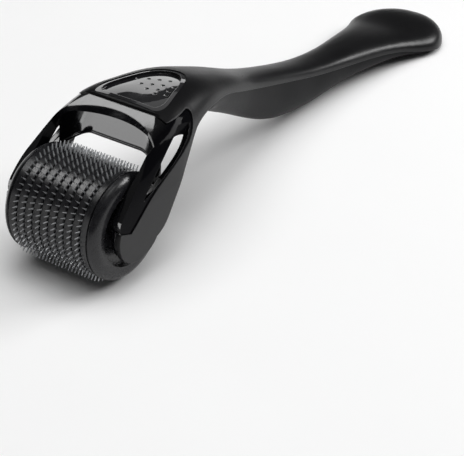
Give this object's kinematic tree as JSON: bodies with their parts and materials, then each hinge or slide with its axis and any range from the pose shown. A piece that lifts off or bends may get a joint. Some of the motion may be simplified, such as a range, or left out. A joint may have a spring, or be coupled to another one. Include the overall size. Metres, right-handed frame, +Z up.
{
  "type": "derma roller",
  "caption": "Handheld derma roller: a forked handle with a spoon-shaped tail, carrying a freely turning drum of stacked needle discs.",
  "frame": {"origin": "on the roller axle, midway between the two arms", "axes": "+X from the roller towards the tail of the handle, +Y along the axle, +Z up, with the tool lying as it rests on a table"},
  "size_m": [0.133, 0.0278, 0.0289],
  "materials": {
    "shell_black": "fine satin",
    "yoke_black": "polished",
    "lens_smoke": "polished, smoke grey",
    "drum_black": "semi-gloss moulded",
    "steel": "bright stainless"
  },
  "bodies": {
    "handle": {"handle_upper_shell": "shell_black", "handle_lower_shell": "shell_black", "inner_yoke": "yoke_black", "window_lens": "lens_smoke", "axle_pin": "steel"},
    "drum": {"roller_core": "drum_black", "needle_disc_1": "steel", "needle_disc_2": "steel", "needle_disc_3": "steel", "needle_disc_4": "steel", "needle_disc_5": "steel", "needle_disc_6": "steel", "needle_disc_7": "steel", "needle_disc_8": "steel", "needle_disc_9": "steel", "spacer_ring_1": "drum_black", "spacer_ring_2": "drum_black", "spacer_ring_3": "drum_black", "spacer_ring_4": "drum_black", "spacer_ring_5": "drum_black", "spacer_ring_6": "drum_black", "spacer_ring_7": "drum_black", "spacer_ring_8": "drum_black", "end_cap_left": "drum_black", "end_cap_right": "drum_black"}
  },
  "joints": [
    {"name": "drum_spin", "type": "hinge", "parent": "handle", "child": "drum", "pos_m": [0, 0, 0], "axis": [0, 1, 0], "continuous": true}
  ]
}
